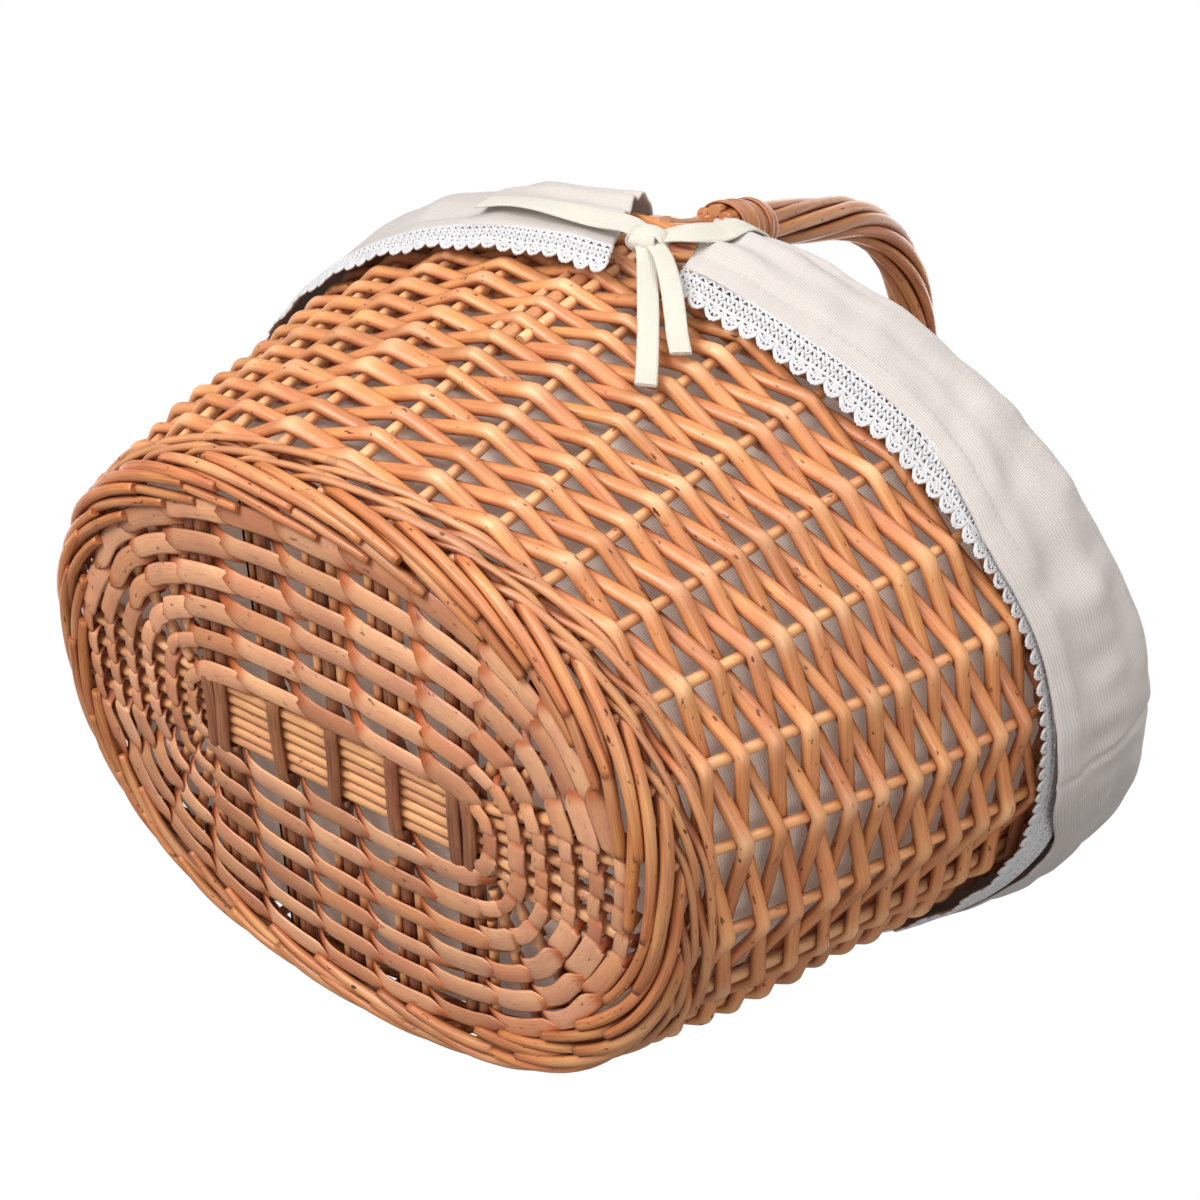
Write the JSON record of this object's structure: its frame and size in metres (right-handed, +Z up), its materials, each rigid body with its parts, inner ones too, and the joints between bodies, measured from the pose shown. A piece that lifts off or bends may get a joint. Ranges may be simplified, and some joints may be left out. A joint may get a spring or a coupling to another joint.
{
  "type": "bread basket",
  "caption": "Oval willow basket with a fixed twisted arch handle and a linen liner folded over the rim with lace and tape ties.",
  "frame": {"origin": "middle of the foot border's underside, on the surface that the basket stands on", "axes": "+Z up, X along the oval's long side, Y across it in the plane of the handle's arch, with a tie on both sides; the two ties are half a turn apart about Z"},
  "size_m": [0.4052, 0.2914, 0.3939],
  "materials": {
    "willow_rod": "satin",
    "willow_border": "satin",
    "willow_stake": "satin",
    "willow_stick": "matte",
    "willow_split": "matte",
    "willow_ribbon": "matte",
    "willow_handle": "satin",
    "linen": "matte",
    "lace": "matte",
    "cotton_tape": "matte"
  },
  "bodies": {
    "root": {"base_long_sticks": "willow_stick", "base_cross_sticks": "willow_split", "base_fan_sticks": "willow_stick", "base_weave": "willow_ribbon", "foot_border": "willow_border", "foot_waling": "willow_rod", "stakes": "willow_stake", "side_weave": "willow_rod", "rim_border": "willow_border", "handle_bow": "willow_handle", "handle_rope_rods": "willow_handle", "handle_binding_front": "willow_handle", "handle_binding_back": "willow_handle", "handle_foot_rods_front": "willow_handle", "handle_foot_rods_back": "willow_handle", "liner_bag": "linen", "liner_cuff_right": "linen", "liner_cuff_left": "linen", "lace_right": "lace", "lace_left": "lace", "tape_front_left": "cotton_tape", "tape_front_right": "cotton_tape", "tape_back_left": "cotton_tape", "tape_back_right": "cotton_tape"}
  },
  "joints": []
}
